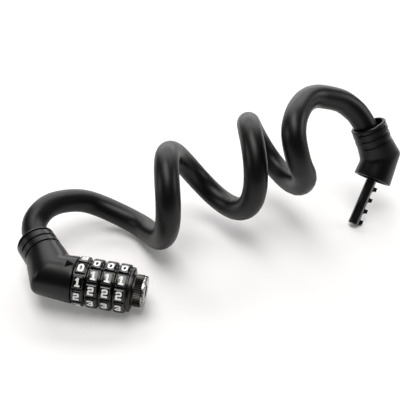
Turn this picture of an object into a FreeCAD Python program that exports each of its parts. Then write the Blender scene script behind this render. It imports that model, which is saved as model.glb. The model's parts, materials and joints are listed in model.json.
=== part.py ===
"""Combination cable lock, stretched out on a table with its bolt unplugged.

Lengths are millimetres and angles are degrees. +X runs from the lock head to the bolt head, +Y
from the dials towards the cable, +Z up. The origin is on the table, under the middle of the box
round the two heads.

Each head is drawn in a frame of its own: +X along the barrel or the rod towards its free end, with
the elbow at negative X, and the collar of the cable leaning towards +Y.
"""
import FreeCAD
import Part
import math
import os

from FreeCAD import Placement, Rotation, Vector

# Cable
CABLE_R = 6.0                  # plastic jacket, 12 mm across
ROPE_R = 3.0                   # bare steel rope inside the ferrules
CABLE_STRAIGHT = 12.0          # straight end of the jacket inside each collar

# Elbow of both heads
BEND = 56.0                    # turn from the back of the barrel into the collar
LEG = 12.8                     # barrel face or rim to the corner of the elbow
COLLAR_REACH = 19.0            # corner of the elbow to the mouth of the collar
COLLAR_R = 9.4
LEG_ROUND = 0.3                # shares of a leg: from its face to the full section
TAPER = (0.36, 0.55)           # and where the other leg is drawn in to the collar
COLLAR_GROOVES = 3
GROOVE_PITCH = 2.4
GROOVE_WIDTH = 0.6
GROOVE_DEPTH = 0.4
GROOVE_FIRST = 1.9             # mouth to the middle of the first groove
MOUTH_R = 7.5                  # wide mouth that lets the cable lean
MOUTH_DEPTH = 7.0
CORNER_R = 4.0                 # rounding of the outer corner
EDGE = 0.4                     # small chamfers

# Ferrule and its cross pin, in both heads
FERRULE_R = 4.2
FERRULE_LENGTH = 5.2
CROSS_PIN_R = 1.0
CROSS_PIN_LENGTH = 15.0

# Code dials
DIALS = 4
DIGITS = 10
PITCH = 6.35                   # dial to dial, and tooth to tooth on the bolt
DIAL_GAP = 0.3
TILE_R = 11.6                  # axis to the flat face of a number tile
DIAL_ROOT_R = 10.6             # floor of the grooves between the tiles
DIAL_BORE_R = 6.65
TILE_LENGTH = 4.9
TILE_WIDTH = 5.7
TILE_CHAMFER = 0.5
TILE_ROOT = 1.2                # how far a tile is sunk in its dial
HALF_CLICK = 180.0 / DIGITS
DIAL_TURNS = (-HALF_CLICK, 0.0, 0.0, 0.0)   # the first dial stands between two numbers

# Code rings inside the dials, splined to them
RING_GAP = 0.06
RING_R = 6.55
RING_BORE_R = 3.97
RING_GROOVE_R = 4.95           # groove where a tooth of the bolt is free to turn past
RING_RIM = 0.7                 # wall on the housing side of that groove
RING_WEB = 1.7                 # wall that stops a tooth, but for its notch
RING_FIRST = 0.12              # housing to the first ring
RING_PITCH = PITCH - 0.03      # a little less than the dials, so that the stack fits
NOTCH_WIDTH = 2.6
RING_SPLINES = 5
SPLINE_R = 7.2
SPLINE_WIDTH = 1.2
SPLINE_FIT = 0.06
SPLINE_AT = 3.45               # spline from the housing side of the ring
SPLINE_LENGTH = 1.0
SPLINE_ROOT = 0.3              # how far a spline is sunk in its ring
SPLINE_FREE = 0.2              # spare room past the reset stroke

# Slotted core tube that carries the rings
CORE_R = 3.9
CORE_BORE_R = 2.9
CORE_BACK = -9.0
SLOT_WIDTH = 2.5
SLOT_FROM = 0.6
HEAD_R = 5.4
HEAD_THICK = 1.3
HEAD_SLOT_R = 4.9              # how far the slot runs into the head
TEETH_CLEAR_R = 4.8            # bore that the teeth of the bolt pass
SPRING_GROOVE = 1.8
SPRING_GROOVE_FLOOR = 3.4
SCREW_R = 1.2
SCREW_X = -6.6
SCREW_DEPTH = 0.6
SCREW_POINT = 0.1              # what the screw leaves of the core's wall

# Leaf spring that makes the rings click
LEAF_WIDTH = 1.6
LEAF_THICK = 0.25
LEAF_CROWN_R = 3.92
LEAF_CROWN_AT = 1.6            # crown from the housing side of its ring
LEAF_ENDS = (0.2, 0.4)         # strip from the housing, and from the flange
CROWN_ROUND = 1.0

# Reset: turning the collar pushes the rings out of their splines
RESET_STROKE = 1.2
RESET_TURN = 90.0
RESET_POCKET_R = 6.9
RESET_POCKET_DEPTH = 4.2
RESET_WASHERS = 4
RESET_WASHER_R = (5.1, 6.5)
RESET_WASHER_THICK = 0.6

FLANGE_FROM, FLANGE_TO, FLANGE_R = 25.4, 26.9, 10.3
FLANGE_STEP = 0.5              # its outer edge is stepped and sloped
FLANGE_STEP_R, FLANGE_FACE_R = 9.5, 9.1
WINDOW_R = 6.1
WINDOW_HALF = 42.0
PUSHER_FROM, PUSHER_TO = 28.3, 29.8
PUSHER_R = 6.0
PUSHER_BORE_R = 3.96
PUSHER_KEY = (1.6, 3.5)        # width and inner radius of the key in the leaf spring's groove
PRONG_HALF = 36.0
LUG_WIDTH = 1.0
LUG_TOP_R = 6.8
LUG_X = 29.1
TRACK_FIT = 0.12
TRACK_STEPS = 8

KNURL_FROM, KNURL_TO, KNURL_R = 27.3, 30.4, 7.5
KNURLS = 28
KNURL_DEPTH = 0.3
NECK_R = 6.9
NECK_LENGTH = 0.5
END_RING_TO, END_RING_R = 32.7, 7.2
END_RING_TEETH = 20
SERRATION = (0.7, 0.9, 0.6)    # length, depth and width of a notch between its teeth
RUN = 0.1                      # running clearance

# Lock housing
LOCK_R = 11.0

# Bolt head
RIM_R = 10.1
BOLT_ELBOW_R = 10.2
RECESS_R = 7.9
RECESS_DEPTH = 6.0
ROD_R = 2.8
ROD_LENGTH = 26.0              # rim to tip
ROD_ROOT = -10.5
TOOTH_FIRST = 4.6              # rim to the middle of the first tooth
TOOTH_LENGTH = 2.2
TOOTH_WIDTH = 2.2
TOOTH_R = 4.7
TIP_CHAMFER = 0.4
ROD_PIN_R = 1.0
ROD_PIN_X = -8.4
ROD_PIN_HALF = 9.5             # half its length

# How the heads lie
LOCK_XY = (-68.7, -37.6)
LOCK_YAW, LOCK_DROP, LOCK_ROLL = -7.9, 6.1, 22.0
BOLT_TIP_XY = (70.9, 17.7)
BOLT_YAW, BOLT_DROP, BOLT_ROLL = 233.3, 50.0, 138.0
INDEX = 90.0 - LOCK_ROLL       # index line, seen in the lock's own frame

# Route of the cable
LOCK_ARCH = ((-82.7, 10.9, 21.5), (-66.1, 17.8, 12.9))
# Middle and radius of the loops, at equal steps of turn from the first bottom to the last top
LOOP_ROWS = ((-44.1, 4.6, 24.4, 18.1),
             (-8.9, 9.7, 34.4, 20.4),
             (22.6, 28.0, 37.8, 18.0),
             (37.9, 5.6, 40.3, 8.5))
LOOP_YAW = 21.4
LOOP_TOP_LEAN = (-0.23, -0.034)
LOOP_TURNS = 2.5
STATIONS_PER_TURN = 4
BOLT_ARCH = ((51.9, 41.3, 65.3), (60.5, 43.7, 62.2))

X = Vector(1, 0, 0)
Y = Vector(0, 1, 0)
Z = Vector(0, 0, 1)
O = Vector(0, 0, 0)


def around_x(degrees, radius, x=0.0):
    """Point at an angle from +Y towards +Z about the X axis."""
    a = math.radians(degrees)
    return Vector(x, radius * math.cos(a), radius * math.sin(a))


def turned(profile):
    """Solid of revolution about X from (x, radius) points."""
    points = [Vector(x, 0, r) for x, r in profile]
    face = Part.Face(Part.makePolygon(points + points[:1]))
    return face.revolve(O, X, 360)


def rod(x0, x1, radius):
    return Part.makeCylinder(radius, x1 - x0, Vector(x0, 0, 0), X)


def pipe_ring(x0, x1, outer, inner):
    return rod(x0, x1, outer).cut(rod(x0 - 1, x1 + 1, inner))


def bar(x0, x1, width, r0, r1, degrees):
    """Block along X, from radius r0 to r1 at an angle about X."""
    block = Part.makeBox(x1 - x0, r1 - r0, width, Vector(x0, r0, -width / 2))
    block.rotate(O, X, degrees)
    return block


def sector(x0, x1, outer, inner, middle, half):
    """Part of a ring, half an opening angle either side of the middle."""
    face = Part.Face(Part.Wire([
        Part.LineSegment(around_x(middle - half, inner, x0), around_x(middle - half, outer, x0)).toShape(),
        Part.Arc(around_x(middle - half, outer, x0), around_x(middle, outer, x0),
                 around_x(middle + half, outer, x0)).toShape(),
        Part.LineSegment(around_x(middle + half, outer, x0), around_x(middle + half, inner, x0)).toShape(),
        Part.Arc(around_x(middle + half, inner, x0), around_x(middle, inner, x0),
                 around_x(middle - half, inner, x0)).toShape(),
    ]))
    return face.extrude(Vector(x1 - x0, 0, 0))


def union(shapes):
    first, rest = shapes[0], shapes[1:]
    return first.fuse(rest).removeSplitter() if rest else first


# Elbow shared by both heads
CORNER = Vector(-LEG, 0, 0)
COLLAR_DIR = Vector(-math.cos(math.radians(BEND)), math.sin(math.radians(BEND)), 0)
COLLAR_TURN = Rotation(X, COLLAR_DIR)


def on_collar(shape):
    """Moves a shape drawn along +X from the origin onto the collar's axis."""
    shape.Placement = Placement(CORNER, COLLAR_TURN).multiply(shape.Placement)
    return shape


def collar_profile(radius):
    """Outline of the collar leg: plain, drawn in to the grooved collar, then the mouth."""
    points = [(-radius, 0), (-radius, radius), (TAPER[0] * COLLAR_REACH, radius),
              (TAPER[1] * COLLAR_REACH, COLLAR_R)]
    for k in reversed(range(COLLAR_GROOVES)):
        middle = COLLAR_REACH - GROOVE_FIRST - GROOVE_PITCH * k
        low = COLLAR_R - GROOVE_DEPTH
        points += [(middle - GROOVE_WIDTH / 2, COLLAR_R), (middle - GROOVE_WIDTH / 2, low),
                   (middle + GROOVE_WIDTH / 2, low), (middle + GROOVE_WIDTH / 2, COLLAR_R)]
    points += [(COLLAR_REACH - EDGE, COLLAR_R), (COLLAR_REACH, COLLAR_R - EDGE), (COLLAR_REACH, 0)]
    return points


def elbow(face_r, radius):
    """Two round legs meeting in a mitre, its outer corner rounded."""
    leg = turned([(0, 0), (0, face_r - EDGE), (-EDGE, face_r), (-LEG_ROUND * LEG, radius),
                  (-LEG - radius, radius), (-LEG - radius, 0)])
    collar = on_collar(turned(collar_profile(radius)))
    normal = (X - COLLAR_DIR).normalize()
    size = 8 * LEG
    half = Part.makeBox(size, size, size, Vector(-size / 2, -size / 2, 0))
    half.Placement = Placement(CORNER, Rotation(Z, normal)).multiply(half.Placement)
    body = leg.common(half).fuse(collar.cut(half))
    return body.cut(corner_sliver(radius))


def corner_sliver(radius):
    """What a rounding takes off the outer corner of the elbow."""
    out = (X + COLLAR_DIR).normalize() * -1
    half_turn = math.radians(BEND / 2)
    tip = CORNER + out * (radius / math.cos(half_turn))
    centre = tip - out * (CORNER_R / math.cos(half_turn))
    beside = CORNER_R * math.tan(half_turn)
    first = tip + X * beside
    last = tip + COLLAR_DIR * beside
    lift = out * (CORNER_R / 2)
    high = Z * (2 * radius)
    points = [first, first + lift, tip + lift * 2, last + lift, last]
    face = Part.Face(Part.makePolygon([p - high for p in points] + [first - high]))
    wedge = face.extrude(high * 2)
    return wedge.cut(Part.makeCylinder(CORNER_R, 4 * radius, centre - high, Z))


def cable_seat():
    """Space in a collar for the cable, its ferrule and the bare rope."""
    seat = COLLAR_REACH - CABLE_STRAIGHT
    profile = [(COLLAR_REACH + 1, 0), (COLLAR_REACH + 1, MOUTH_R), (COLLAR_REACH - MOUTH_DEPTH, MOUTH_R),
               (COLLAR_REACH - MOUTH_DEPTH, CABLE_R), (seat, CABLE_R), (seat, FERRULE_R),
               (seat - FERRULE_LENGTH, FERRULE_R), (seat - FERRULE_LENGTH, 0)]
    return on_collar(turned(profile))


def ferrule():
    """Crimped sleeve on the bare rope at the end of the cable."""
    seat = COLLAR_REACH - CABLE_STRAIGHT
    body = pipe_ring(seat - FERRULE_LENGTH, seat, FERRULE_R, ROPE_R)
    return on_collar(body.cut(cross_pin_shape()))


def rope_end():
    seat = COLLAR_REACH - CABLE_STRAIGHT
    return on_collar(rod(seat - FERRULE_LENGTH, seat, ROPE_R).cut(cross_pin_shape()))


def cross_pin_shape():
    """Pin across the ferrule, square to the plane of the elbow."""
    at = COLLAR_REACH - CABLE_STRAIGHT - FERRULE_LENGTH / 2
    half = CROSS_PIN_LENGTH / 2
    return Part.makeCylinder(CROSS_PIN_R, CROSS_PIN_LENGTH, Vector(at, 0, -half), Z)


def cross_pin():
    return on_collar(cross_pin_shape())


# Lock head
def lock_housing():
    body = elbow(LOCK_R, LOCK_R).cut(cable_seat()).cut(cross_pin())
    body = body.cut(rod(-RESET_POCKET_DEPTH, 1, RESET_POCKET_R))
    body = body.cut(rod(CORE_BACK, 1, CORE_R))
    return body.cut(core_screw())


def core_screw():
    """Set screw from below, its point in the wall of the core tube."""
    head = LOCK_R - SCREW_DEPTH
    return Part.makeCylinder(SCREW_R, head - CORE_BORE_R - SCREW_POINT, around_x(INDEX + 180, head, SCREW_X),
                             around_x(INDEX, 1))


def core_tube():
    """Tube with a head at its mouth, a slot for the teeth and a groove for the leaf spring."""
    tip = END_RING_TO
    body = rod(CORE_BACK, tip, CORE_R).fuse(rod(tip - HEAD_THICK, tip, HEAD_R))
    body = body.cut(rod(CORE_BACK - 1, tip + 1, CORE_BORE_R))
    body = body.cut(bar(SLOT_FROM, tip + 1, SLOT_WIDTH, 0, HEAD_SLOT_R, INDEX))
    body = body.cut(bar(0, tip - HEAD_THICK, SPRING_GROOVE, SPRING_GROOVE_FLOOR, HEAD_R + 1, INDEX + 180))
    return body.cut(core_screw())


def leaf_spring():
    """Strip in the groove of the core, with one raised crown under each ring."""
    low = SPRING_GROOVE_FLOOR
    strip = [bar(LEAF_ENDS[0], DIALS * PITCH - LEAF_ENDS[1], LEAF_WIDTH, low, low + LEAF_THICK, INDEX + 180)]
    for k in range(DIALS):
        at = ring_start(k) + LEAF_CROWN_AT
        crown = Part.makeCylinder(CROWN_ROUND, LEAF_WIDTH,
                                  Vector(at, LEAF_CROWN_R - CROWN_ROUND, -LEAF_WIDTH / 2), Z)
        crown = crown.common(Part.makeBox(4 * CROWN_ROUND, CROWN_ROUND, LEAF_WIDTH,
                                          Vector(at - 2 * CROWN_ROUND, low, -LEAF_WIDTH / 2)))
        crown.rotate(O, X, INDEX + 180)
        strip.append(crown)
    return union(strip)


def ring_start(k):
    return RING_FIRST + k * RING_PITCH


def ring_length():
    return RING_PITCH - RING_GAP


def code_ring(k):
    """Ring that blocks one tooth unless its notch is on the index line."""
    x0 = ring_start(k)
    x1 = x0 + ring_length()
    body = rod(x0, x1, RING_R)
    for i in range(RING_SPLINES):
        body = body.fuse(bar(x0 + SPLINE_AT, x0 + SPLINE_AT + SPLINE_LENGTH, SPLINE_WIDTH,
                             RING_R - SPLINE_ROOT, SPLINE_R, INDEX + HALF_CLICK + i * 360.0 / RING_SPLINES))
    body = body.cut(rod(x0 - 1, x1 + 1, RING_BORE_R))
    body = body.cut(rod(x0 + RING_RIM, x1 - RING_WEB, RING_GROOVE_R))
    body = body.cut(bar(x0 - 1, x1 + 1, NOTCH_WIDTH, 0, RING_GROOVE_R, INDEX))
    body.rotate(O, X, DIAL_TURNS[k])
    return body


def dial_start(k):
    return DIAL_GAP / 2 + k * PITCH


def dial(k):
    """Number dial with ten flat tiles, splined inside over a short length."""
    x0 = dial_start(k)
    x1 = x0 + PITCH - DIAL_GAP
    body = rod(x0, x1, DIAL_ROOT_R)
    for i in range(DIGITS):
        body = body.fuse(tile((x0 + x1) / 2, INDEX + i * 2 * HALF_CLICK))
    body = body.cut(rod(x0 - 1, x1 + 1, DIAL_BORE_R))
    splines_from = ring_start(k) + SPLINE_AT - SPLINE_FIT
    splines_to = splines_from + SPLINE_LENGTH + 2 * SPLINE_FIT
    body = body.cut(rod(splines_from - RESET_STROKE - SPLINE_FREE, splines_from, SPLINE_R + SPLINE_FIT))
    for i in range(DIGITS):
        body = body.cut(bar(splines_from - 0.1, splines_to, SPLINE_WIDTH + 2 * SPLINE_FIT, 0,
                            SPLINE_R + SPLINE_FIT, INDEX + HALF_CLICK + i * 2 * HALF_CLICK))
    body.rotate(O, X, DIAL_TURNS[k])
    return body


def tile(middle, degrees):
    """Number tile, a block with its four upper edges chamfered."""
    half, side, c = TILE_LENGTH / 2, TILE_WIDTH / 2, TILE_CHAMFER
    low, high = DIAL_ROOT_R - TILE_ROOT, TILE_R
    across = Part.Face(Part.makePolygon([
        Vector(-half, low, -side), Vector(-half, high - c, -side), Vector(-half, high, -side + c),
        Vector(-half, high, side - c), Vector(-half, high - c, side), Vector(-half, low, side),
        Vector(-half, low, -side)])).extrude(X * TILE_LENGTH)
    along = Part.Face(Part.makePolygon([
        Vector(-half, low, -side), Vector(-half, high - c, -side), Vector(-half + c, high, -side),
        Vector(half - c, high, -side), Vector(half, high - c, -side), Vector(half, low, -side),
        Vector(-half, low, -side)])).extrude(Z * TILE_WIDTH)
    block = across.common(along)
    block.translate(X * middle)
    block.rotate(O, X, degrees)
    return block


def reset_spring():
    """Stack of dished spring washers behind the first ring, edge to edge."""
    x0 = -RESET_POCKET_DEPTH
    step = (ring_start(0) - x0) / RESET_WASHERS
    outer = [(x0 + i * step, RESET_WASHER_R[i % 2]) for i in range(RESET_WASHERS + 1)]
    return turned(outer + [(x, r - RESET_WASHER_THICK) for x, r in reversed(outer)])


def end_flange():
    """Fixed flange past the last dial, with windows for the pusher's prongs."""
    step = FLANGE_TO - FLANGE_STEP
    body = turned([(FLANGE_FROM, 0), (FLANGE_FROM, FLANGE_R), (step, FLANGE_R), (step, FLANGE_STEP_R),
                   (FLANGE_TO, FLANGE_FACE_R), (FLANGE_TO, 0)])
    body = body.cut(rod(FLANGE_FROM - 1, FLANGE_TO + 1, CORE_R))
    body = body.cut(bar(FLANGE_FROM - 1, FLANGE_TO + 1, NOTCH_WIDTH, 0, RING_GROOVE_R, INDEX))
    for side in (-90, 90):
        body = body.cut(sector(FLANGE_FROM - 1, FLANGE_TO + 1, WINDOW_R, SPRING_GROOVE_FLOOR, INDEX + side,
                               WINDOW_HALF))
    return body


def pusher():
    """Ring with two prongs that slides on the core and pushes the code rings."""
    body = pipe_ring(PUSHER_FROM, PUSHER_TO, PUSHER_R, PUSHER_BORE_R)
    prong_from = ring_start(DIALS - 1) + ring_length() + RING_GAP
    for side in (-90, 90):
        body = body.fuse(sector(prong_from, PUSHER_TO, PUSHER_R, PUSHER_BORE_R, INDEX + side, PRONG_HALF))
        body = body.fuse(bar(LUG_X - LUG_WIDTH / 2, LUG_X + LUG_WIDTH / 2, LUG_WIDTH, PUSHER_R - 0.5,
                             LUG_TOP_R, INDEX + side))
    body = body.fuse(bar(PUSHER_FROM, PUSHER_TO, PUSHER_KEY[0], PUSHER_KEY[1], PUSHER_R - 0.5, INDEX + 180))
    body = body.cut(bar(PUSHER_FROM - 1, PUSHER_TO + 1, NOTCH_WIDTH, 0, RING_GROOVE_R, INDEX))
    return body.removeSplitter()


def reset_collar():
    """Knurled collar with two slanted tracks inside for the pusher's lugs."""
    body = turned([(FLANGE_TO + RUN, 0), (FLANGE_TO + RUN, NECK_R), (KNURL_FROM + NECK_LENGTH, NECK_R),
                   (KNURL_FROM + NECK_LENGTH, KNURL_R), (KNURL_TO, KNURL_R), (KNURL_TO, 0)])
    bore_to = PUSHER_TO + RUN
    body = body.cut(rod(FLANGE_TO, bore_to, PUSHER_R + RUN)).cut(rod(bore_to - 1, KNURL_TO + 1, TEETH_CLEAR_R))
    for i in range(KNURLS):
        body = body.cut(knurl_groove(i * 360.0 / KNURLS))
    for side in (-90, 90):
        body = body.cut(track(INDEX + side))
    return body


def knurl_groove(degrees):
    """V-shaped groove of the knurl."""
    x0 = KNURL_FROM + NECK_LENGTH - 0.01
    wide, low, high = 2 * KNURL_DEPTH, KNURL_R - KNURL_DEPTH, KNURL_R + KNURL_DEPTH
    face = Part.Face(Part.makePolygon([Vector(x0, low, 0), Vector(x0, high, wide), Vector(x0, high, -wide),
                                       Vector(x0, low, 0)]))
    groove = face.extrude(X * (KNURL_TO - x0 + 1))
    groove.rotate(O, X, degrees)
    return groove


def track(degrees):
    """Slanted track that a lug follows while the collar turns."""
    half = LUG_WIDTH / 2 + TRACK_FIT
    spare = math.degrees((half + TRACK_FIT) / PUSHER_R)
    sections = []
    for i in range(TRACK_STEPS + 1):
        turn = -spare + (RESET_TURN + 2 * spare) * i / TRACK_STEPS
        x = LUG_X - RESET_STROKE * turn / RESET_TURN
        inner = [around_x(degrees - turn, PUSHER_R - 0.5, x + d) for d in (-half, half)]
        outer = [around_x(degrees - turn, LUG_TOP_R + TRACK_FIT, x + d) for d in (half, -half)]
        sections.append(Part.makePolygon(inner + outer + inner[:1]))
    return Part.makeLoft(sections, True, True)


def end_ring():
    """Bright serrated ring that closes the collar behind the core's head."""
    x0, x1 = KNURL_TO, END_RING_TO
    body = turned([(x0, 0), (x0, END_RING_R - EDGE), (x0 + EDGE, END_RING_R), (x1 - 2 * EDGE, END_RING_R),
                   (x1, END_RING_R - 2 * EDGE), (x1, 0)])
    body = body.cut(rod(x0 - 1, x1, TEETH_CLEAR_R))
    body = body.cut(rod(x1 - HEAD_THICK - RUN, x1 + 1, HEAD_R + RUN))
    length, depth, width = SERRATION
    for i in range(END_RING_TEETH):
        body = body.cut(bar(x1 - length, x1 + 1, width, END_RING_R - depth, END_RING_R + 1,
                            i * 360.0 / END_RING_TEETH))
    return body


# Bolt head
def bolt_housing():
    body = elbow(RIM_R, BOLT_ELBOW_R).cut(cable_seat()).cut(cross_pin())
    body = body.cut(rod(-RECESS_DEPTH, 1, RECESS_R))
    body = body.cut(rod(ROD_ROOT, 1, ROD_R))
    return body.cut(rod_pin())


def rod_pin():
    """Pin that holds the rod in the housing."""
    return Part.makeCylinder(ROD_PIN_R, 2 * ROD_PIN_HALF, Vector(ROD_PIN_X, 0, -ROD_PIN_HALF), Z)


def bolt_rod():
    """Round rod with one square tooth for each dial."""
    body = turned([(ROD_ROOT, 0), (ROD_ROOT, ROD_R), (ROD_LENGTH - TIP_CHAMFER, ROD_R),
                   (ROD_LENGTH, ROD_R - TIP_CHAMFER), (ROD_LENGTH, 0)])
    for k in range(DIALS):
        at = TOOTH_FIRST + k * PITCH
        body = body.fuse(bar(at - TOOTH_LENGTH / 2, at + TOOTH_LENGTH / 2, TOOTH_WIDTH, 0, TOOTH_R, 180))
    return body.removeSplitter().cut(rod_pin())


# Cable
def station_tangents(stations, first, last):
    """Tangent at each station, that of the circle through it and its two neighbours."""
    inner = []
    for a, b, c in zip(stations, stations[1:], stations[2:]):
        back, on = b - a, c - b
        inner.append((back * (1 / back.dot(back)) + on * (1 / on.dot(on))).normalize())
    return [first] + inner + [last]


def biarc_wire(stations, tangents):
    """Two tangent arcs from each station to the next, and the radius of each arc."""
    edges = []
    radii = []
    for p0, p1, t0, t1 in zip(stations, stations[1:], tangents, tangents[1:]):
        v = p1 - p0
        both = v.dot(t0 + t1)
        open_part = 2 * (1 - t0.dot(t1))
        if open_part > 1e-9:
            reach = (math.sqrt(both * both + open_part * v.dot(v)) - both) / open_part
        else:
            reach = v.dot(v) / (2 * both)
        joint = (p0 + p1 + (t0 - t1) * reach) * 0.5
        for start, end, corner in ((p0, joint, p0 + t0 * reach), (joint, p1, p1 - t1 * reach)):
            edge, radius = arc_between(start, end, corner)
            edges.append(edge)
            radii.append(radius)
    return Part.Wire(edges), radii


def arc_between(start, end, corner):
    """Arc that is tangent to the lines from a corner to its two ends."""
    middle = (start + end) * 0.5
    height = (corner - middle).Length
    half_chord = (end - start).Length / 2
    if height < 1e-4 * half_chord:
        return Part.LineSegment(start, end).toShape(), float("inf")
    half_turn = math.atan2(height, half_chord)
    radius = half_chord / math.sin(half_turn)
    top = middle + (corner - middle) * (radius * (1 - math.cos(half_turn)) / height)
    return Part.Arc(start, top, end).toShape(), radius


def pipe(wire, radius, start, direction):
    """Round tube along a wire."""
    circle = Part.Wire(Part.Circle(start, direction, radius).toShape())
    return wire.makePipeShell([circle], True, False)


def between(rows, share):
    """Smooth curve through equally spaced rows of numbers."""
    count = len(rows)
    at = share * (count - 1)
    result = [0.0] * len(rows[0])
    for i, row in enumerate(rows):
        weight = 1.0
        for j in range(count):
            if j != i:
                weight *= (at - j) / (i - j)
        result = [total + weight * value for total, value in zip(result, row)]
    return result


def loop_stations():
    """Quarter-turn points of the loops, from the bottom of the first one."""
    yaw = math.radians(LOOP_YAW)
    side = Vector(-math.sin(yaw), math.cos(yaw), 0)
    top = Vector(LOOP_TOP_LEAN[0], LOOP_TOP_LEAN[1], 1).normalize()
    count = round(LOOP_TURNS * STATIONS_PER_TURN) + 1
    points = []
    for i in range(count):
        x, y, z, radius = between(LOOP_ROWS, i / (count - 1))
        angle = math.pi + 2 * math.pi * i / STATIONS_PER_TURN
        points.append(Vector(x, y, z) + top * (radius * math.cos(angle)) + side * (radius * math.sin(angle)))
    return points


def cable_route(lock_frame, bolt_frame):
    """Stations and tangents of the cable between the seats in the two collars."""
    ends = []
    for frame in (lock_frame, bolt_frame):
        out = frame.Rotation.multVec(COLLAR_DIR)
        mouth = frame.multVec(CORNER + COLLAR_DIR * COLLAR_REACH)
        ends.append((mouth - out * CABLE_STRAIGHT, mouth, out))
    (seat0, mouth0, out0), (seat1, mouth1, out1) = ends
    stations = [mouth0] + [Vector(*p) for p in LOCK_ARCH] + loop_stations()
    stations += [Vector(*p) for p in BOLT_ARCH] + [mouth1]
    tangents = station_tangents(stations, out0, out1 * -1)
    return [seat0] + stations + [seat1], [out0] + tangents + [out1 * -1]


def least_gap(wire, radius):
    """Least space between two stretches of the tube that aren't neighbours."""
    step = radius / 3
    points = wire.discretize(Distance=step)
    apart = int(math.pi * radius / step) + 2
    least = min((points[i] - points[j]).Length for i in range(len(points)) for j in range(i + apart, len(points)))
    return least - 2 * radius


def cable(lock_frame, bolt_frame):
    stations, tangents = cable_route(lock_frame, bolt_frame)
    wire, radii = biarc_wire(stations, tangents)
    tube = pipe(wire, CABLE_R, stations[0], tangents[0])
    bends = [r for r in radii if r < 1000]
    print("cable length %.1f, least arc %.1f, least gap %.2f" % (wire.Length, min(bends), least_gap(wire, CABLE_R)))
    print("arc radii", " ".join("%.0f" % r for r in bends))
    print("volume over section times length %.4f" % (tube.Volume / (math.pi * CABLE_R ** 2 * wire.Length)))
    print("lowest point %.2f" % (min(p.z for p in wire.discretize(Distance=CABLE_R / 10)) - CABLE_R))
    return tube


def head_frame(x, y, z, yaw, drop, roll):
    turn = Rotation(Z, yaw).multiply(Rotation(Y, drop)).multiply(Rotation(X, roll))
    return Placement(Vector(x, y, z), turn)


def lock_frame():
    """Frame of the lock head, lying on the far edge of the last dial's tiles."""
    slope = math.radians(LOCK_DROP)
    last = dial_start(DIALS - 1) + (PITCH - DIAL_GAP + TILE_LENGTH) / 2 - TILE_CHAMFER
    height = TILE_R * math.cos(slope) + last * math.sin(slope)
    return head_frame(LOCK_XY[0], LOCK_XY[1], height, LOCK_YAW, LOCK_DROP, LOCK_ROLL)


def bolt_frame():
    """Frame of the bolt head, standing on the edge of its tip."""
    slope = math.radians(BOLT_DROP)
    edge = max((ROD_R - TIP_CHAMFER) * math.cos(slope), ROD_R * math.cos(slope) - TIP_CHAMFER * math.sin(slope))
    frame = head_frame(0, 0, 0, BOLT_YAW, BOLT_DROP, BOLT_ROLL)
    tip = Vector(BOLT_TIP_XY[0], BOLT_TIP_XY[1], edge)
    return Placement(tip - frame.multVec(X * ROD_LENGTH), frame.Rotation)


def build():
    lock, bolt = lock_frame(), bolt_frame()
    in_lock = {
        "lock_housing": lock_housing(),
        "core_tube": core_tube(),
        "core_screw": core_screw(),
        "leaf_spring": leaf_spring(),
        "reset_spring": reset_spring(),
        "end_flange": end_flange(),
        "pusher": pusher(),
        "reset_collar": reset_collar(),
        "end_ring": end_ring(),
        "lock_ferrule": ferrule(),
        "lock_rope_end": rope_end(),
        "lock_cross_pin": cross_pin(),
    }
    for k in range(DIALS):
        in_lock["dial_%d" % (k + 1)] = dial(k)
        in_lock["code_ring_%d" % (k + 1)] = code_ring(k)
    in_bolt = {
        "bolt_housing": bolt_housing(),
        "bolt_rod": bolt_rod(),
        "rod_pin": rod_pin(),
        "bolt_ferrule": ferrule(),
        "bolt_rope_end": rope_end(),
        "bolt_cross_pin": cross_pin(),
    }
    parts = {}
    for frame, group in ((lock, in_lock), (bolt, in_bolt)):
        for name, shape in group.items():
            shape.Placement = frame.multiply(shape.Placement)
            parts[name] = shape
    parts["cable"] = cable(lock, bolt)
    return parts


def main():
    parts = build()
    os.makedirs("parts", exist_ok=True)
    for name, shape in parts.items():
        solid = shape.Solids[0] if len(shape.Solids) == 1 else shape
        print("%-16s solids %d valid %s volume %.0f" % (name, len(shape.Solids), shape.isValid(), shape.Volume))
        solid.exportStep("parts/%s.step" % name)
    heads = FreeCAD.BoundBox()
    for name, shape in parts.items():
        if name != "cable":
            heads.add(shape.BoundBox)
    print("heads box x %.2f %.2f y %.2f %.2f z %.2f %.2f" % (heads.XMin, heads.XMax, heads.YMin, heads.YMax,
                                                             heads.ZMin, heads.ZMax))
    for label, frame in (("lock", lock_frame()), ("bolt", bolt_frame())):
        print(label, "base", frame.Base, "x", frame.Rotation.multVec(X), "y", frame.Rotation.multVec(Y))


main()
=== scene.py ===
"""Looks of a combination cable lock: housings, dials, numbers, jacket, finishes, floor, light and camera.

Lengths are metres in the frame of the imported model: +X from the lock head to the bolt head, +Y from
the dials towards the cable, +Z up, and the table at z = 0. Shapes of the two heads are drawn in
millimetres in a frame of their own: X along the barrel or the rod towards its free end, Y in the
plane of the elbow.
"""
from __future__ import annotations

import json
import logging
import math
from dataclasses import dataclass
from enum import Enum

import bmesh
import bpy
from mathutils import Matrix, Vector
from mathutils.bvhtree import BVHTree


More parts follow.
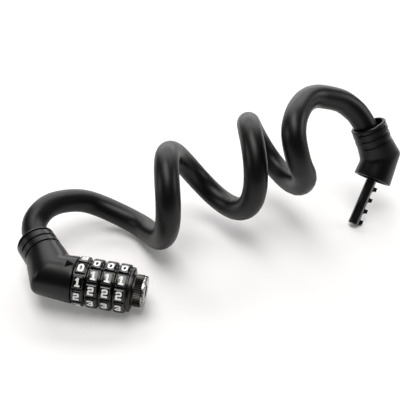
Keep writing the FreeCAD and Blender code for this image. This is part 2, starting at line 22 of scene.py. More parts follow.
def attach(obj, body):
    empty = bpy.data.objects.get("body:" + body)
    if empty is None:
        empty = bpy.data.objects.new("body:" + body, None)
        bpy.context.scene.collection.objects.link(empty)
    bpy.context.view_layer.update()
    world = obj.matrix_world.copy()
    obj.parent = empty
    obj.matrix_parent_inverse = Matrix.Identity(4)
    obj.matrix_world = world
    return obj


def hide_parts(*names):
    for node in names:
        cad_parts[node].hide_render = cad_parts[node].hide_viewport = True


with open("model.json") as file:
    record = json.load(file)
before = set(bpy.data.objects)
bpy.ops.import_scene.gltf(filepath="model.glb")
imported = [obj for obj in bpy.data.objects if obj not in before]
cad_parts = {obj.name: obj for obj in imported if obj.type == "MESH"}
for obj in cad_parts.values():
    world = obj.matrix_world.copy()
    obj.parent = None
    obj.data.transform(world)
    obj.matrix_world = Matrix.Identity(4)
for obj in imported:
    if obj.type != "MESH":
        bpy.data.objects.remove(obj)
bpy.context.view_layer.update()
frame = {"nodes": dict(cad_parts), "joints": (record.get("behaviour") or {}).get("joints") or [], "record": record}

log = logging.getLogger("cable_lock")

Pair = tuple[float, float]
Triple = tuple[float, float, float]

MM = 0.001
# Body of the two heads and the cable, which stays while the dials and the collar turn
ROOT = "lock_and_cable"
# Faces that meet at a greater angle keep a sharp edge between them
SHARP_EDGE = math.radians(32)
# From dial to dial along the lock, and from tooth to tooth along the rod
DIAL_PITCH = 6.35
# Slit between two dials
DIAL_GAP = 0.3


class Grain(Enum):
    """How a surface was made: how much finer its relief is along X, Y and Z of the model."""

    MOULDED = (1.0, 1.0, 1.0)
    TURNED = (1.0, 14.0, 14.0)
    DRAWN = (0.08, 1.0, 1.0)


def linear(colour: str) -> tuple[float, float, float, float]:
    """Turns an sRGB hex colour into linear values.

    Args:
        colour: Six hex digits with a leading hash.

    Returns:
        Red, green, blue and an alpha of one.
    """
    shares = [int(colour[i:i + 2], 16) / 255 for i in (1, 3, 5)]
    r, g, b = (c / 12.92 if c <= 0.04045 else ((c + 0.055) / 1.055) ** 2.4 for c in shares)
    return (r, g, b, 1.0)


def add_node(tree: bpy.types.NodeTree, kind: str, settings: dict | None = None,
             links: dict | None = None) -> bpy.types.Node:
    """Adds a node with its settings and its incoming links.

    Args:
        tree: Node tree that takes the node.
        kind: Node type's identifier.
        settings: Properties by name, and input values by socket name or number.
        links: Output sockets, or nodes for their first output, by the input that they feed.

    Returns:
        The new node.
    """
    node = tree.nodes.new(kind)
    for key, value in (settings or {}).items():
        if isinstance(key, str) and hasattr(node, key):
            setattr(node, key, value)
        else:
            node.inputs[key].default_value = value
    for key, source in (links or {}).items():
        first = source.outputs[0] if isinstance(source, bpy.types.Node) else source
        tree.links.new(first, node.inputs[key])
    return node


@dataclass(frozen=True)
class Finish:
    """A surface as it was made: colour, gloss and the relief of its grain.

    Broad clouds vary the gloss by the share cloud. Where a second colour is given as worn, the surface
    turns to it as the clouds rise from the first value of worn_at to the second.
    """

    name: str
    colour: str
    roughness: float
    metallic: float = 0.0
    ior: float = 1.5
    coat: float = 0.0
    coat_roughness: float = 0.1
    grain: Grain = Grain.MOULDED
    grain_mm: float = 0.4
    relief_mm: float = 0.01
    cloud_mm: float = 9.0
    cloud: float = 0.15
    worn: str = ""
    worn_at: Pair = (0.52, 0.72)

    def material(self) -> bpy.types.Material:
        """Builds the node material, or finds it if it is built.

        Returns:
            The material.
        """
        made = bpy.data.materials.get(self.name)
        if made:
            return made
        made = bpy.data.materials.new(self.name)
        made.use_nodes = True
        tree = made.node_tree
        tree.nodes.clear()
        place = add_node(tree, "ShaderNodeTexCoord").outputs["Object"]
        stretched = add_node(tree, "ShaderNodeMapping", {"Scale": self.grain.value}, {"Vector": place})
        grit = add_node(tree, "ShaderNodeTexNoise",
                        {"Scale": 1 / (self.grain_mm * MM), "Detail": 3.0}, {"Vector": stretched})
        cloud = add_node(tree, "ShaderNodeTexNoise",
                         {"Scale": 1 / (self.cloud_mm * MM), "Detail": 2.0}, {"Vector": place})
        bump = add_node(tree, "ShaderNodeBump", {"Strength": 1.0, "Distance": self.relief_mm * MM},
                        {"Height": grit})
        gloss = add_node(tree, "ShaderNodeMapRange",
                         {"To Min": self.roughness * (1 - self.cloud),
                          "To Max": self.roughness * (1 + self.cloud)}, {"Value": cloud})
        shader = add_node(tree, "ShaderNodeBsdfPrincipled",
                          {"Base Color": linear(self.colour), "Metallic": self.metallic, "IOR": self.ior,
                           "Coat Weight": self.coat, "Coat Roughness": self.coat_roughness},
                          {"Roughness": gloss, "Normal": bump})
        if self.worn:
            fresh_until, worn_from = self.worn_at
            share = add_node(tree, "ShaderNodeMapRange",
                             {"From Min": fresh_until, "From Max": worn_from}, {"Value": cloud})
            # Inputs 6 and 7 and output 2 are the node's colours
            mixed = add_node(tree, "ShaderNodeMix",
                             {"data_type": "RGBA", 6: linear(self.colour), 7: linear(self.worn)},
                             {0: share})
            tree.links.new(mixed.outputs[2], shader.inputs["Base Color"])
        add_node(tree, "ShaderNodeOutputMaterial", {}, {"Surface": shader})
        return made


# Glass-filled nylon from a spark-eroded mould: satin black, its grit drawn coarser so that it shows
MOULDED_NYLON = Finish("moulded_nylon", "#050505", 0.33, ior=1.40, grain_mm=0.35, relief_mm=0.006,
                       worn="#080807")
# Extruded soft PVC: matt, with a broad soft sheen
PVC_JACKET = Finish("extruded_pvc", "#030303", 0.38, ior=1.40, grain_mm=0.6, relief_mm=0.006,
                    cloud_mm=14.0, worn="#060606")
# ABS from a polished mould: clear reflections on flat facets
POLISHED_ABS = Finish("polished_abs", "#050505", 0.16, coat=0.3, coat_roughness=0.05, relief_mm=0.001)
# Pad-printed ink: flat white numbers on the tiles
PRINTED_INK = Finish("printed_ink", "#fdfdfc", 0.45, relief_mm=0.002)
# Matt ink of the index mark, darker than the satin moulding round it
INDEX_INK = Finish("index_ink", "#020202", 0.65, ior=1.12, relief_mm=0.001)
# Bright nickel on turned zinc: sharp highlights, broken up by the tool's marks
NICKEL_PLATE = Finish("nickel_plate", "#9c9b98", 0.22, metallic=1.0, grain=Grain.TURNED, grain_mm=0.5,
                      relief_mm=0.004, worn="#a8a7a4")
# The same plating on the flange, coloured dark grey and dull
DULL_NICKEL = Finish("dull_nickel", "#3c3b3a", 0.30, metallic=1.0, grain=Grain.TURNED, relief_mm=0.004)
# Black chromate on zinc: a brownish dark grey with metal shine, lighter in patches
BLACK_CHROMATE = Finish("black_chromate", "#393735", 0.32, metallic=0.9, grain_mm=0.3, relief_mm=0.008,
                        worn="#4c4a46")
# Oiled black oxide on hardened, drawn steel: nearly black under a clear shine
BLACK_OXIDE = Finish("black_oxide", "#0a0a0b", 0.20, coat=1.0, coat_roughness=0.12, grain=Grain.DRAWN,
                     grain_mm=0.3, relief_mm=0.003)
# Free-cutting brass as turned: yellow and softly bright
TURNED_BRASS = Finish("turned_brass", "#b08d4a", 0.28, metallic=1.0, grain=Grain.TURNED, relief_mm=0.003)
# Zinc-plated steel: pale grey, softly bright
PLATED_STEEL = Finish("plated_steel", "#9a9a9c", 0.30, metallic=1.0, relief_mm=0.003)

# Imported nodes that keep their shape, by the finish that they take
CARRIED_OVER: dict[Finish, tuple[str, ...]] = {
    DULL_NICKEL: ("end_flange",),
    BLACK_OXIDE: ("core_tube",),
    TURNED_BRASS: ("code_ring_1", "code_ring_2", "code_ring_3", "code_ring_4", "pusher"),
    PLATED_STEEL: ("core_screw", "leaf_spring", "reset_spring", "lock_ferrule", "bolt_ferrule",
                   "lock_rope_end", "bolt_rope_end", "lock_cross_pin", "bolt_cross_pin"),
}


def dress(node: str, finish: Finish) -> None:
    """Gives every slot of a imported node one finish.

    Args:
        node: Name of the node.
        finish: Finish that it takes.
    """
    for slot in frame["nodes"][node].material_slots:
        slot.material = finish.material()
    log.info("%s wears %s", node, finish.name)


def put(name: str, data: bpy.types.ID) -> bpy.types.Object:
    """Puts an object in the scene.

    Args:
        name: Its name.
        data: Its mesh, curve, light or camera.

    Returns:
        The new object.
    """
    piece = bpy.data.objects.new(name, data)
    bpy.context.collection.objects.link(piece)
    return piece


def plain_mesh(source: bpy.types.Object) -> bpy.types.Mesh:
    """Turns an object into a mesh of what its modifiers make of it, and removes the object.

    Args:
        source: Object with live modifiers, or a curve.

    Returns:
        A new mesh with nothing live on it.
    """
    bpy.context.view_layer.update()
    evaluated = source.evaluated_get(bpy.context.evaluated_depsgraph_get())
    mesh = bpy.data.meshes.new_from_object(evaluated)
    bpy.data.objects.remove(source)
    return mesh


def add_piece(name: str, mesh: bpy.types.Mesh, body: str, finish: Finish | None = None,
              stands_for: tuple[str, ...] = ()) -> bpy.types.Object:
    """Puts a finished mesh in the scene and lets it ride on a body.

    Args:
        name: Name of the piece.
        mesh: Its mesh, already in place.
        body: Body that carries it.
        finish: Finish that it takes, if its mesh has none yet.
        stands_for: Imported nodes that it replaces.

    Returns:
        The new object.
    """
    mesh.name = name
    if finish:
        mesh.materials.clear()
        mesh.materials.append(finish.material())
    piece = put(name, mesh)
    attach(piece, body)
    if stands_for:
        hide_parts(*stands_for)
    log.info("%s: %d faces on %s", name, len(mesh.polygons), body)
    return piece


def skin(rings: list[list[Vector]], looped: bool = False) -> bmesh.types.BMesh:
    """Joins rings of points, one after the other, into a closed skin.

    Args:
        rings: Rings with equal numbers of points.
        looped: Whether the last ring joins the first, as on a tube; otherwise both ends are capped.

    Returns:
        Mesh under construction, its faces outwards.
    """
    shape = bmesh.new()
    rows = [[shape.verts.new(point) for point in ring] for ring in rings]
    following = rows[1:] + rows[:1] if looped else rows[1:]
    for near, far in zip(rows, following):
        for i in range(len(near)):
            j = (i + 1) % len(near)
            shape.faces.new((near[i], near[j], far[j], far[i]))
    if not looped:
        shape.faces.new(rows[0])
        shape.faces.new(rows[-1])
    bmesh.ops.recalc_face_normals(shape, faces=shape.faces[:])
    return shape


def finished(shape: bmesh.types.BMesh, place: Matrix) -> bpy.types.Mesh:
    """Turns a drawn shape into a mesh in its place, smooth but for its sharp edges.

    Args:
        shape: Mesh under construction, in millimetres; it is freed.
        place: Frame that it is drawn in.

    Returns:
        The mesh, in metres.
    """
    mesh = bpy.data.meshes.new("piece")
    shape.to_mesh(mesh)
    shape.free()
    mesh.transform(place @ Matrix.Scale(MM, 4))
    mesh.polygons.foreach_set("use_smooth", [True] * len(mesh.polygons))
    mesh.set_sharp_from_angle(angle=SHARP_EDGE)
    return mesh


def turned(profile: list[Pair], steps: int, ridge: float = 0.0) -> list[list[Vector]]:
    """Turns a profile about X.

    Args:
        profile: Distances along X and radii.
        steps: Points round the axis.
        ridge: How far every second point of the widest rings lies inside them.

    Returns:
        One ring for each point of the profile.
    """
    widest = max(radius for _, radius in profile)
    rings = []
    for x, radius in profile:
        ring = []
        for i in range(steps):
            angle = 2 * math.pi * i / steps
            out = radius - ridge * (i % 2) if radius == widest else radius
            ring.append(Vector((x, out * math.cos(angle), out * math.sin(angle))))
        rings.append(ring)
    return rings


def round_a_dial(digits: int) -> bpy.types.NodeTree:
    """Builds the tree that sets pieces round a dial.

    Args:
        digits: How many there are.

    Returns:
        Geometry tree with inputs for the pieces, their radius, first turn and material.
    """
    tree = bpy.data.node_groups.new("round_a_dial", "GeometryNodeTree")
    tree.is_modifier = True
    for label, kind in (("Geometry", "Geometry"), ("Stock", "Collection"), ("Radius", "Float"),
                        ("First turn", "Float"), ("Material", "Material")):
        tree.interface.new_socket(label, in_out="INPUT", socket_type="NodeSocket" + kind)
    tree.interface.new_socket("Geometry", in_out="OUTPUT", socket_type="NodeSocketGeometry")
    given = add_node(tree, "NodeGroupInput").outputs
    number = add_node(tree, "GeometryNodeInputIndex")
    turn = add_node(tree, "ShaderNodeMath", {"operation": "MULTIPLY_ADD", 1: 2 * math.pi / digits},
                    {0: number, 2: given["First turn"]})
    sine = add_node(tree, "ShaderNodeMath", {"operation": "SINE"}, {0: turn})
    cosine = add_node(tree, "ShaderNodeMath", {"operation": "COSINE"}, {0: turn})
    front = add_node(tree, "ShaderNodeMath", {"operation": "MULTIPLY", 1: -1.0}, {0: sine})
    spot = add_node(tree, "ShaderNodeCombineXYZ", {}, {"Y": front, "Z": cosine})
    out = add_node(tree, "ShaderNodeVectorMath", {"operation": "SCALE"},
                   {0: spot, "Scale": given["Radius"]})
    points = add_node(tree, "GeometryNodePoints", {"Count": digits}, {"Position": out})
    about = add_node(tree, "ShaderNodeCombineXYZ", {}, {"X": turn})
    stock = add_node(tree, "GeometryNodeCollectionInfo",
                     {"Separate Children": True, "Reset Children": True}, {"Collection": given["Stock"]})
    placed = add_node(tree, "GeometryNodeInstanceOnPoints", {"Pick Instance": True},
                      {"Points": points, "Instance": stock, "Instance Index": number, "Rotation": about})
    real = add_node(tree, "GeometryNodeRealizeInstances", {}, {0: placed})
    dressed = add_node(tree, "GeometryNodeSetMaterial", {},
                       {"Geometry": real, "Material": given["Material"]})
    add_node(tree, "NodeGroupOutput", {}, {0: dressed})
    return tree


@dataclass(frozen=True)
class Head:
    """Where one head lies in the model: a point on its axis, and the axis's direction."""

    base: Vector
    along: Vector

    def frame(self, degrees: float) -> Matrix:
        """Gives the head's frame, its Y turned up from level.

        Args:
            degrees: Turn of Y about the axis, from level towards straight up.

        Returns:
            Matrix from the head's own lengths to the model's.
        """
        level = Vector((0, 0, 1)).cross(self.along).normalized()
        up = self.along.cross(level)
        turn = math.radians(degrees)
        side = level * math.cos(turn) + up * math.sin(turn)
        columns = (self.along, side, self.along.cross(side), self.base)
        return Matrix([[column[row] for column in columns] for row in range(3)] + [[0, 0, 0, 1]])


def lock_head() -> Head:
    """Reads the lock's axis from the joint of its first dial.

    Returns:
        The lock's head, its base on the housing's face, half a pitch before the dial's middle.
    """
    joint = next(j for j in frame["joints"] if j["name"] == "dial_1_turn")
    along = Vector(joint["axis"]).normalized()
    return Head(Vector(joint["pos_m"]) - along * (DIAL_PITCH / 2 * MM), along)


def bolt_head(rod_length: float) -> Head:
    """Reads the rod's axis from the mount at its tip.

    Args:
        rod_length: From the housing's face to the tip, in millimetres.

    Returns:
        The bolt's head, its base on the housing's face.
    """
    tip = next(m for m in frame["record"]["mounts"] if m["name"] == "bolt_rod_end")
    along = Vector(tip["axis"]).normalized()
    return Head(Vector(tip["pos_m"]) - along * (rod_length * MM), along)


@dataclass(frozen=True)
class Elbow:
    """Moulded housing: a barrel that narrows towards its slanted back, a flared leg and a grooved collar.

    roll turns its plane up from level, and bend is the collar's turn from the barrel, both in degrees.
    The face has a pocket of a depth and a radius, and the mouth a radius and a depth. The oval where
    barrel and leg meet runs from inner to outer, two (length, radius) points measured from the face.
    The collar runs from collar_from to reach, measured along its axis from where it crosses the
    barrel's, at leg behind the face. A groove has a width and a depth, ends at groove_stop from the
    parting plane and is at full depth from groove_fade beyond that.
    """

    name: str
    node: str
    head: Head
    roll: float
    radius: float
    inner: Pair
    outer: Pair
    leg: float
    collar_r: float
    collar_from: float
    reach: float
    pocket: Pair
    bend: float = 47.5
    plain: float = 1.5
    edge: float = 0.4
    crease: float = 1.5
    crease_share: float = 0.45
    grooves: int = 3
    groove_pitch: float = 4.0
    groove_first: float = 1.75
    groove_size: Pair = (0.9, 0.55)
    groove_brim: float = 0.65
    groove_stop: float = 2.8
    groove_fade: float = 0.7
    mouth: Pair = (7.5, 7.0)
    cable_r: float = 5.95
    cable_hole: float = 1.0
    lip: float = 0.9
    steps: int = 96

    def collar_way(self) -> Vector:
        """Direction of the collar in the head's own frame."""
        bend = math.radians(self.bend)
        return Vector((-math.cos(bend), math.sin(bend), 0))

    def on_collar(self, along: float) -> Vector:
        """Finds a point on the collar's axis.

        Args:
            along: Distance from the crossing of the axes.

        Returns:
            The point, in the head's own frame.
        """
        return Vector((-self.leg, 0, 0)) + self.collar_way() * along

    def oval(self, centre: Vector, long: Vector, across: float) -> list[Vector]:
        """Sets points round an oval.

        Args:
            centre: Its middle.
            long: Half axis in the plane of the elbow.
            across: Half axis square to that plane.

        Returns:
            The points, from the end of the long half axis.
        """
        angles = [2 * math.pi * i / self.steps for i in range(self.steps)]
        return [centre + long * math.cos(a) + Vector((0, 0, across * math.sin(a))) for a in angles]

    def leg_rings(self) -> list[list[Vector]]:
        """Rings of the barrel and the leg, with the edge between them rounded.

        Returns:
            Rings from the plain part of the barrel to the start of the collar.
        """
        inner = Vector((-self.inner[0], self.inner[1], 0))
        outer = Vector((-self.outer[0], -self.outer[1], 0))
        across = Vector((0, 0, 1)).cross(self.collar_way())
        front = self.oval(Vector((-self.plain, 0, 0)), Vector((0, -self.radius, 0)), self.radius)
        corner = self.oval((inner + outer) / 2, (outer - inner) / 2, (self.inner[1] + self.outer[1]) / 2)
        back = self.oval(self.on_collar(self.collar_from), across * self.collar_r, self.collar_r)
        lines = []
        for a, b, c in zip(front, corner, back):
            first, last = (b + (end - b) * min(self.crease_share, self.crease / (end - b).length)
                           for end in (a, c))
            line = [a.lerp(first, share) for share in (0, 1 / 3, 2 / 3)]
            line += [first.lerp(b, share).lerp(b.lerp(last, share), share)
                     for share in (0, 1 / 6, 1 / 3, 1 / 2, 2 / 3, 5 / 6, 1)]
            line += [last.lerp(c, share) for share in (1 / 3, 2 / 3, 1)]
            lines.append(line)
        return [list(ring) for ring in zip(*lines)]

    def collar_profile(self) -> list[Triple]:
        """Draws the collar from its grooves round the lip into the mouth.

        Returns:
            Distances along the collar, radii, and how deep a groove is cut there.
        """
        width, depth = self.groove_size
        floor, brim = width * 0.5, width * self.groove_brim
        points = []
        for k in reversed(range(self.grooves)):
            middle = self.reach - self.groove_first - self.groove_pitch * k
            points += [(middle + away, self.collar_r, cut)
                       for away, cut in ((-brim, 0), (-floor, depth), (floor, depth), (brim, 0))]
        for share in (0, 0.25, 0.5, 0.75, 1):
            turn = math.pi / 2 * share
            points.append((self.reach - self.lip * (1 - math.sin(turn)),
                           self.collar_r - self.lip * (1 - math.cos(turn)), 0))
        mouth_r, mouth_depth = self.mouth
        mouth_end = self.reach - mouth_depth
        points += [(self.reach, mouth_r + self.edge / 2, 0), (self.reach - self.edge / 2, mouth_r, 0),
                   (mouth_end, mouth_r, 0), (mouth_end, self.cable_r, 0),
                   (mouth_end - self.cable_hole, self.cable_r, 0)]
        return points

    def collar_rings(self) -> list[list[Vector]]:
        """Rings of the collar; its grooves stop short of the parting plane of the mould.

        Returns:
            Rings from the first groove into the mouth.
        """
        across = Vector((0, 0, 1)).cross(self.collar_way())
        rings = []
        for along, radius, cut in self.collar_profile():
            spot = self.on_collar(along)
            ring = []
            for i in range(self.steps):
                angle = 2 * math.pi * i / self.steps
                beyond = (abs(radius * math.sin(angle)) - self.groove_stop) / self.groove_fade
                r = radius - cut * min(1.0, max(0.0, beyond))
                ring.append(spot + across * (r * math.cos(angle)) + Vector((0, 0, r * math.sin(angle))))
            rings.append(ring)
        return rings

    def build(self) -> bpy.types.Object:
        """Moulds the housing, closed inside its pocket and its mouth, in place of the plain one.

        Returns:
            The housing.
        """
        depth, pocket_r = self.pocket
        face = [(-depth, pocket_r), (-self.edge / 2, pocket_r), (0, pocket_r + self.edge / 2),
                (0, self.radius - self.edge), (-self.edge * 0.3, self.radius - self.edge * 0.3),
                (-self.edge, self.radius)]
        rings = [self.oval(Vector((x, 0, 0)), Vector((0, -r, 0)), r) for x, r in face]
        shape = skin(rings + self.leg_rings() + self.collar_rings())
        mesh = finished(shape, self.head.frame(self.roll))
        return add_piece(self.name, mesh, ROOT, MOULDED_NYLON, (self.node,))


@dataclass
class Dials:
    """The four number dials: a ring with ten raised tiles each, and a white number on every tile.

    The index line stands index degrees up from level, and each dial's 0 first_turns degrees past it. A
    tile has a length, a width and a depth. The numbers are drawn on a grid five wide and seven high, as
    outlines with their holes.
    """

    head: Head
    index: float = 81.3
    digits: int = 10
    first_turns: tuple[float, ...] = (21.0, 0.0, 0.0, 0.0)
    tile_radius: float = 11.2
    root_radius: float = 10.3
    bore_radius: float = 7.35
    ring_chamfer: float = 0.3
    ring_steps: int = 96
    tile: Triple = (4.9, 5.7, 1.5)
    chamfer: float = 0.5
    bevel: float = 0.13
    height: float = 3.95
    ink: float = 0.05
    grid: Pair = (5.0, 7.0)
    stroke: float = 1.55
    cut: float = 0.9

    def box(self, inset: float, bottom: float, top: float, cut: float) -> list[Pair]:
        """Outline of a rectangle with its corners cut.

        Args:
            inset: Distance from the grid's left and right sides.
            bottom: Height of its bottom.
            top: Height of its top.
            cut: Length taken off each corner.

        Returns:
            Eight corners.
        """
        left, right = inset, self.grid[0] - inset
        return [(left + cut, bottom), (right - cut, bottom), (right, bottom + cut), (right, top - cut),
                (right - cut, top), (left + cut, top), (left, top - cut), (left, bottom + cut)]

    def outlines(self, digit: int) -> list[list[Pair]]:
        """Draws one number.

        Args:
            digit: Number from 0 to 9.

        Returns:
            Its outlines, holes among them.
        """
        w, h = self.grid
        s, c = self.stroke, self.cut
        mid = h / 2
        low, high = mid - s / 2, mid + s / 2
        if digit == 0:
            return [self.box(0, 0, h, 1.4), self.box(s, s, h - s, 0.5)]
        if digit == 1:
            return [[(0.5, 0), (w - 0.3, 0), (w - 0.3, s - 0.2), (w / 2 + 0.9, s - 0.2), (w / 2 + 0.9, h),
                     (w / 2 - 0.5, h), (0.5, h - 1.1), (0.5, h - 2.5), (w / 2 - 0.8, h - 1.9),
                     (w / 2 - 0.8, s - 0.2), (0.5, s - 0.2)]]
        if digit in (2, 5):
            two = [(0, 0), (w, 0), (w, s), (s, s), (s, low), (w - c, low), (w, low + c), (w, h - c),
                   (w - c, h), (c, h), (0, h - c), (0, h - 2.1), (s, h - 2.1), (s, h - s), (w - s, h - s),
                   (w - s, high), (c, high), (0, high - c)]
            return [two if digit == 2 else [(x, h - y) for x, y in two]]
        if digit == 3:
            right = [(c, 0), (w - c, 0), (w, c), (w, mid - 0.5), (w - 0.5, mid), (w, mid + 0.5),
                     (w, h - c), (w - c, h), (c, h), (0, h - c)]
            left = [(0, h - 2.1), (s, h - 2.1), (s, h - s), (w - s, h - s), (w - s, high), (s, high),
                    (s, low), (w - s, low), (w - s, s), (s, s), (s, 2.1), (0, 2.1), (0, c)]
            return [right + left]
        if digit == 4:
            return [[(w - s - 0.6, 0), (w - 0.6, 0), (w - 0.6, s), (w, s), (w, 2 * s), (w - 0.6, 2 * s),
                     (w - 0.6, h), (w - s - 1, h), (0, 2 * s), (0, s), (w - s - 0.6, s)],
                    [(s, 2 * s), (w - s - 0.6, 2 * s), (w - s - 0.6, h - s)]]
        if digit in (6, 9):
            six = [[(c, 0), (w - c, 0), (w, c), (w, high - c), (w - c, high), (s, high), (s, h - s),
                    (w - s, h - s), (w - s, h - 2.1), (w, h - 2.1), (w, h - c), (w - c, h), (c, h),
                    (0, h - c), (0, c)],
                   [(s, s), (w - s, s), (w - s, low), (s, low)]]
            return six if digit == 6 else [[(w - x, h - y) for x, y in line] for line in six]
        if digit == 7:
            return [[(1, 0), (1 + s + 0.2, 0), (w, h - s), (w, h), (0, h), (0, h - s),
                     (w - s - 0.2, h - s)]]
        return [self.box(0, 0, h, c), self.box(s, s, low, 0), self.box(s, high, h - s, 0)]

    def glyph(self, digit: int) -> bpy.types.Object:
        """Cuts one number out of a film of ink.

        Args:
            digit: Number from 0 to 9.

        Returns:
            Thin flat object centred on its origin, facing up, in metres.
        """
        curve = bpy.data.curves.new("outline", "CURVE")
        curve.dimensions = "2D"
        curve.fill_mode = "BOTH"
        for line in self.outlines(digit):
            spline = curve.splines.new("POLY")
            spline.points.add(len(line) - 1)
            for point, (x, y) in zip(spline.points, line):
                point.co = (x - self.grid[0] / 2, y - self.grid[1] / 2, 0, 1)
            spline.use_cyclic_u = True
        mesh = plain_mesh(put("number_source", curve))
        scale = self.height / self.grid[1] * MM
        shape = bmesh.new()
        shape.from_mesh(mesh)
        bmesh.ops.remove_doubles(shape, verts=shape.verts[:], dist=1e-5)
        raised = bmesh.ops.extrude_face_region(shape, geom=shape.faces[:])
        top = [v for v in raised["geom"] if isinstance(v, bmesh.types.BMVert)]
        bmesh.ops.translate(shape, verts=top, vec=(0, 0, self.ink * MM / scale))
        bmesh.ops.recalc_face_normals(shape, faces=shape.faces[:])
        shape.to_mesh(mesh)
        shape.free()
        mesh.transform(Matrix.Scale(scale, 4))
        mesh.polygons.foreach_set("use_smooth", [False] * len(mesh.polygons))
        return bpy.data.objects.new("number_%d" % digit, mesh)

    def raised_tile(self) -> bpy.types.Object:
        """Makes one raised tile, its top face on the origin's level.

        Returns:
            Block with a chamfer round its top and slightly rounded edges, in metres.
        """
        long, wide, deep = self.tile
        rings = []
        for drop, less in ((0, self.chamfer), (self.chamfer, 0), (deep, 0)):
            x, y = long / 2 - less, wide / 2 - less
            rings.append([Vector((*corner, -drop)) for corner in ((-x, -y), (x, -y), (x, y), (-x, y))])
        block = put("tile_source", finished(skin(rings), Matrix.Identity(4)))
        round_off = block.modifiers.new("rounded", "BEVEL")
        round_off.width = self.bevel * MM
        round_off.segments = 2
        round_off.limit_method = "ANGLE"
        rounded = plain_mesh(block)
        rounded.set_sharp_from_angle(angle=SHARP_EDGE)
        return bpy.data.objects.new("raised_tile", rounded)

    def place(self, k: int) -> Matrix:
        """Gives the frame of one dial: X along the axis from its middle, Z up the index line.

        Args:
            k: Number of the dial, from 0.

        Returns:
            Its matrix.
        """
        middle = DIAL_PITCH * (k + 0.5) * MM
        return self.head.frame(self.index - 90) @ Matrix.Translation((middle, 0, 0))

    def body(self) -> bmesh.types.BMesh:
        """Turns the ring that carries the tiles.

        Returns:
            Mesh under construction, in millimetres.
        """
        half = (DIAL_PITCH - DIAL_GAP) / 2
        cut = self.ring_chamfer
        bore, root = self.bore_radius, self.root_radius
        profile = [(-half, bore), (-half, root - cut), (-half + cut, root), (half - cut, root),
                   (half, root - cut), (half, bore)]
        return skin(turned(profile, self.ring_steps), looped=True)

    def build(self) -> None:
        """Makes each dial and its numbers and lets them ride on it."""
        tree = round_a_dial(self.digits)
        sockets = {s.name: s.identifier for s in tree.interface.items_tree if s.in_out == "INPUT"}
        numbers = bpy.data.collections.new("numbers")
        for digit in range(self.digits):
            numbers.objects.link(self.glyph(digit))
        tiles = bpy.data.collections.new("tiles")
        tiles.objects.link(self.raised_tile())
        for k, turn in enumerate(self.first_turns):
            dial = "dial_%d" % (k + 1)
            for label, stock, finish, slot in (("tiles", tiles, POLISHED_ABS, "dial_black"),
                                               ("numbers", numbers, PRINTED_INK, "number_ink")):
                carrier = put("carrier", bpy.data.meshes.new("carrier"))
                band = carrier.modifiers.new("band", "NODES")
                band.node_group = tree
                band[sockets["Stock"]] = stock
                band[sockets["Radius"]] = self.tile_radius * MM
                band[sockets["First turn"]] = math.radians(turn)
                band[sockets["Material"]] = finish.material()
                mesh = plain_mesh(carrier)
                mesh.transform(self.place(k))
                add_piece("%s_%d" % (label, k + 1), mesh, dial)
            ring = finished(self.body(), self.place(k))
            add_piece("dial_ring_%d" % (k + 1), ring, dial, POLISHED_ABS, (dial,))


@dataclass
class ResetEnd:
    """Knurled collar past the flange, and the bright serrated ring that closes it.

    Places are measured from the housing's face. A neck has a length and a radius, a notch a length and
    a depth.
    """

    head: Head
    knurled: Pair = (27.0, 31.2)
    knurl_r: float = 7.5
    knurl_neck: Pair = (0.8, 6.9)
    bore_r: float = 6.85
    ridges: int = 56
    ridge: float = 0.36
    ridge_end: float = 0.1
    ring_to: float = 32.7
    ring_r: float = 7.25
    ring_bore_r: float = 5.5
    ring_neck: Pair = (0.35, 6.6)
    teeth: int = 26
    notch: Pair = (0.6, 0.6)
    edge: float = 0.15

    def collar(self) -> bmesh.types.BMesh:
        """Turns the knurled collar.

        Returns:
            Mesh under construction, in millimetres.
        """
        start, end = self.knurled
        neck, neck_r = self.knurl_neck
        low = self.knurl_r - self.ridge - self.ridge_end
        profile = [(start, self.bore_r), (start, neck_r), (start + neck, neck_r), (start + neck, low),
                   (start + neck + self.edge, self.knurl_r), (end - self.edge, self.knurl_r), (end, low),
                   (end, self.bore_r)]
        return skin(turned(profile, 2 * self.ridges, self.ridge), looped=True)

    def ring(self) -> bmesh.types.BMesh:
        """Turns the end ring, with notches round its outer edge.

        Returns:
            Mesh under construction, in millimetres.
        """
        start, end = self.knurled[1], self.ring_to
        neck, neck_r = self.ring_neck
        length, depth = self.notch
        inside = [(start, self.ring_bore_r), (start, neck_r), (start + neck, neck_r),
                  (start + neck, self.ring_r), (end - length, self.ring_r)]
        rim = [(end - self.edge, self.ring_r), (end, self.ring_r - self.edge)]
        front = [(end, self.ring_r - 2 * depth), (end, self.ring_bore_r)]
        rings = turned(inside + rim + front, 4 * self.teeth)
        # Of every four points round the rim, two stay out as a tooth and two go in as a notch
        for ring in rings[len(inside):-len(front)]:
            for i, point in enumerate(ring):
                if i % 4 >= 2:
                    out = math.hypot(point.y, point.z)
                    point.yz = point.yz * ((out - depth) / out)
        return skin(rings, looped=True)

    def build(self) -> None:
        """Puts both pieces in place of the plain ones."""
        place = self.head.frame(0)
        add_piece("knurled_collar", finished(self.collar(), place), "reset_collar",
                  BLACK_CHROMATE, ("reset_collar",))
        add_piece("serrated_ring", finished(self.ring(), place), "reset_collar",
                  NICKEL_PLATE, ("end_ring",))


